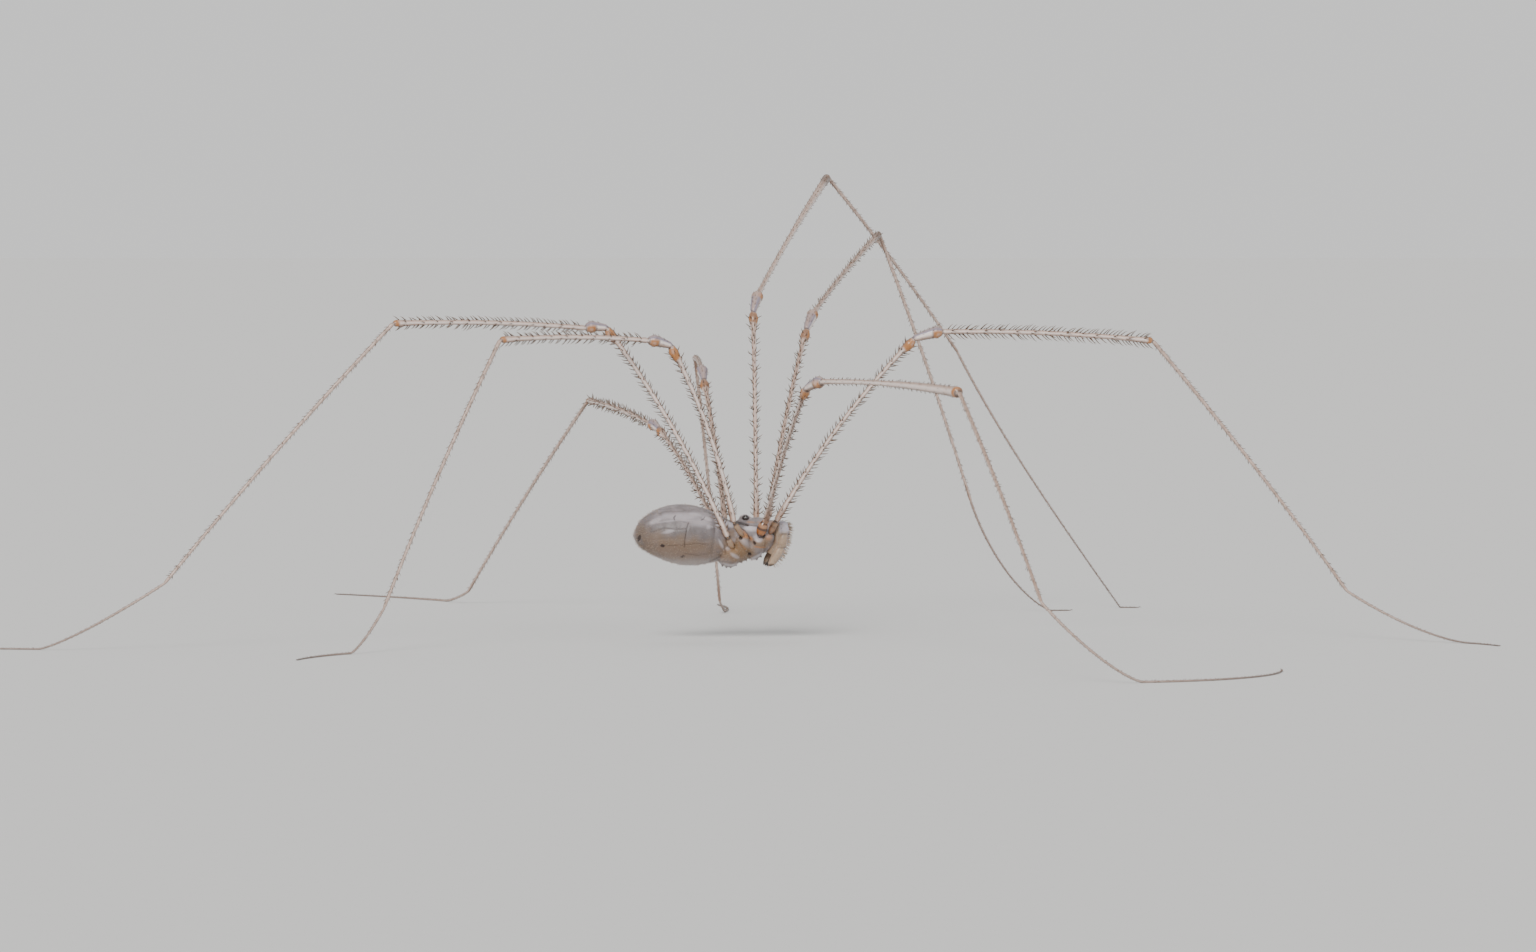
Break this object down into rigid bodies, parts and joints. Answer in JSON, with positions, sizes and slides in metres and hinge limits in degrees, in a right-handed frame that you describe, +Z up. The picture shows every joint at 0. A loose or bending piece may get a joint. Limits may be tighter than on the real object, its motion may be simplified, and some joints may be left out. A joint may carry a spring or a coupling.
{
  "type": "harvestman model",
  "caption": "Still life-size model of a harvestman standing on long bent legs, with an oval body, eye turret, short palps and pincers.",
  "frame": {"origin": "middle of the box round the whole animal, at the level of the floor that its feet rest on", "axes": "+X towards the animal's front, +Y towards its left side, +Z up from the floor"},
  "size_m": [0.0694, 0.0726, 0.0213],
  "materials": {
    "abdomen": "satin, translucent grey-lilac",
    "prosoma": "satin, tan and lilac-white",
    "eye": "gloss",
    "mouthpart": "satin",
    "trochanter": "glossy amber",
    "leg": "satin, pinkish cream"
  },
  "bodies": {
    "root": {"abdomen": "abdomen", "prosoma": "prosoma", "eye_turret": "prosoma", "eye_left": "eye", "eye_right": "eye", "chelicera_left": "mouthpart", "chelicera_right": "mouthpart", "palp_left": "mouthpart", "palp_right": "mouthpart", "leg_left_1_trochanter": "trochanter", "leg_left_1_femur": "leg", "leg_left_1_patella": "leg", "leg_left_1_tibia": "leg", "leg_left_1_metatarsus": "leg", "leg_left_1_tarsus": "leg", "leg_left_2_trochanter": "trochanter", "leg_left_2_femur": "leg", "leg_left_2_patella": "leg", "leg_left_2_tibia": "leg", "leg_left_2_metatarsus": "leg", "leg_left_2_tarsus": "leg", "leg_left_3_trochanter": "trochanter", "leg_left_3_femur": "leg", "leg_left_3_patella": "leg", "leg_left_3_tibia": "leg", "leg_left_3_metatarsus": "leg", "leg_left_3_tarsus": "leg", "leg_left_4_trochanter": "trochanter", "leg_left_4_femur": "leg", "leg_left_4_patella": "leg", "leg_left_4_tibia": "leg", "leg_left_4_metatarsus": "leg", "leg_left_4_tarsus": "leg", "leg_right_1_trochanter": "trochanter", "leg_right_1_femur": "leg", "leg_right_1_patella": "leg", "leg_right_1_tibia": "leg", "leg_right_1_metatarsus": "leg", "leg_right_1_tarsus": "leg", "leg_right_2_trochanter": "trochanter", "leg_right_2_femur": "leg", "leg_right_2_patella": "leg", "leg_right_2_tibia": "leg", "leg_right_2_metatarsus": "leg", "leg_right_2_tarsus": "leg", "leg_right_3_trochanter": "trochanter", "leg_right_3_femur": "leg", "leg_right_3_patella": "leg", "leg_right_3_tibia": "leg", "leg_right_3_metatarsus": "leg", "leg_right_3_tarsus": "leg", "leg_right_4_trochanter": "trochanter", "leg_right_4_femur": "leg", "leg_right_4_patella": "leg", "leg_right_4_tibia": "leg", "leg_right_4_metatarsus": "leg", "leg_right_4_tarsus": "leg"}
  },
  "joints": []
}
